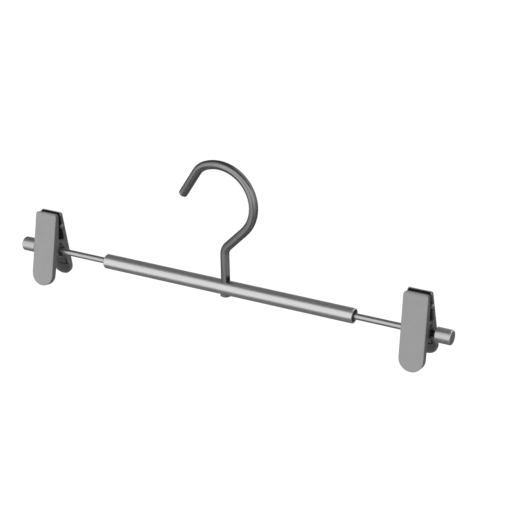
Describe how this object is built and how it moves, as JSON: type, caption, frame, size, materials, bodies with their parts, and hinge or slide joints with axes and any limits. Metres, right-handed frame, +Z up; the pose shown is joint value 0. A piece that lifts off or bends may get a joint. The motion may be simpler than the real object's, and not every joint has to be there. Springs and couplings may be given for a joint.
{
  "type": "trouser hanger",
  "caption": "Trouser hanger with a swivelling wire hook, a tube bar, end knobs and two sprung padded clips that slide and turn on the rods.",
  "frame": {"origin": "rail seat: the highest point inside the round of the hook, where the hanger hangs on a rail", "axes": "+X along the bar towards the right clip, +Y away from the front of the hanger and along the rail, +Z up"},
  "size_m": [0.3225, 0.0303, 0.1124],
  "materials": {
    "hook_metal": "satin, drawn wire",
    "plain_steel": "dull",
    "tube_metal": "satin",
    "plug_plastic": "moulded",
    "rod_steel": "bright drawn",
    "knob_metal": "turned, satin",
    "sleeve_steel": "dark oxide",
    "jaw_coating": "matt grey coating",
    "pad_rubber": "matt",
    "pin_steel": "bright",
    "spring_steel": "oiled spring wire"
  },
  "bodies": {
    "hook": {"hook": "hook_metal"},
    "crossbar": {"crossbar_tube": "tube_metal", "saddle_washer": "plain_steel", "left_end_plug": "plug_plastic", "right_end_plug": "plug_plastic", "left_inner_plug": "plug_plastic", "right_inner_plug": "plug_plastic", "left_rod": "rod_steel", "right_rod": "rod_steel", "left_end_knob": "knob_metal", "right_end_knob": "knob_metal"},
    "left_sleeve": {"left_pivot_sleeve": "sleeve_steel"},
    "left_spring": {"left_spring": "spring_steel"},
    "left_front_jaw": {"left_front_jaw": "jaw_coating", "left_front_pad": "pad_rubber"},
    "left_back_jaw": {"left_back_jaw": "jaw_coating", "left_back_pad": "pad_rubber", "left_pad_pin": "pin_steel"},
    "right_sleeve": {"right_pivot_sleeve": "sleeve_steel"},
    "right_spring": {"right_spring": "spring_steel"},
    "right_front_jaw": {"right_front_jaw": "jaw_coating", "right_front_pad": "pad_rubber"},
    "right_back_jaw": {"right_back_jaw": "jaw_coating", "right_back_pad": "pad_rubber", "right_pad_pin": "pin_steel"}
  },
  "joints": [
    {"name": "hook_swivel", "type": "hinge", "parent": "hook", "child": "crossbar", "pos_m": [0.0031, 0, -0.0823], "axis": [0, 0, 1], "continuous": true},
    {"name": "left_clip_slide", "type": "slide", "parent": "crossbar", "child": "left_sleeve", "axis": [1, 0, 0], "range_m": [-0.0026, 0.0374]},
    {"name": "left_clip_turn", "type": "hinge", "parent": "left_sleeve", "child": "left_spring", "pos_m": [-0.1373, 0, -0.0823], "axis": [1, 0, 0], "continuous": true},
    {"name": "left_front_jaw_open", "type": "hinge", "parent": "left_spring", "child": "left_front_jaw", "pos_m": [-0.1373, 0, -0.0823], "axis": [1, 0, 0], "range_deg": [0, 22], "stiffness_Nm_per_rad": 0.218, "springref_deg": -28.65, "deforming": ["left_spring"]},
    {"name": "left_back_jaw_open", "type": "hinge", "parent": "left_spring", "child": "left_back_jaw", "pos_m": [-0.1373, 0, -0.0823], "axis": [1, 0, 0], "range_deg": [-22, 0], "stiffness_Nm_per_rad": 0.218, "springref_deg": 28.65},
    {"name": "right_clip_slide", "type": "slide", "parent": "crossbar", "child": "right_sleeve", "axis": [-1, 0, 0], "range_m": [-0.0032, 0.0345]},
    {"name": "right_clip_turn", "type": "hinge", "parent": "right_sleeve", "child": "right_spring", "pos_m": [0.1406, 0, -0.0823], "axis": [1, 0, 0], "continuous": true},
    {"name": "right_front_jaw_open", "type": "hinge", "parent": "right_spring", "child": "right_front_jaw", "pos_m": [0.1406, 0, -0.0823], "axis": [1, 0, 0], "range_deg": [0, 22], "stiffness_Nm_per_rad": 0.218, "springref_deg": -28.65, "deforming": ["right_spring"]},
    {"name": "right_back_jaw_open", "type": "hinge", "parent": "right_spring", "child": "right_back_jaw", "pos_m": [0.1406, 0, -0.0823], "axis": [1, 0, 0], "range_deg": [-22, 0], "stiffness_Nm_per_rad": 0.218, "springref_deg": 28.65}
  ],
  "couplings": [
    {"joint": "left_back_jaw_open", "follows": "left_front_jaw_open", "ratio": -1},
    {"joint": "right_back_jaw_open", "follows": "right_front_jaw_open", "ratio": -1}
  ]
}
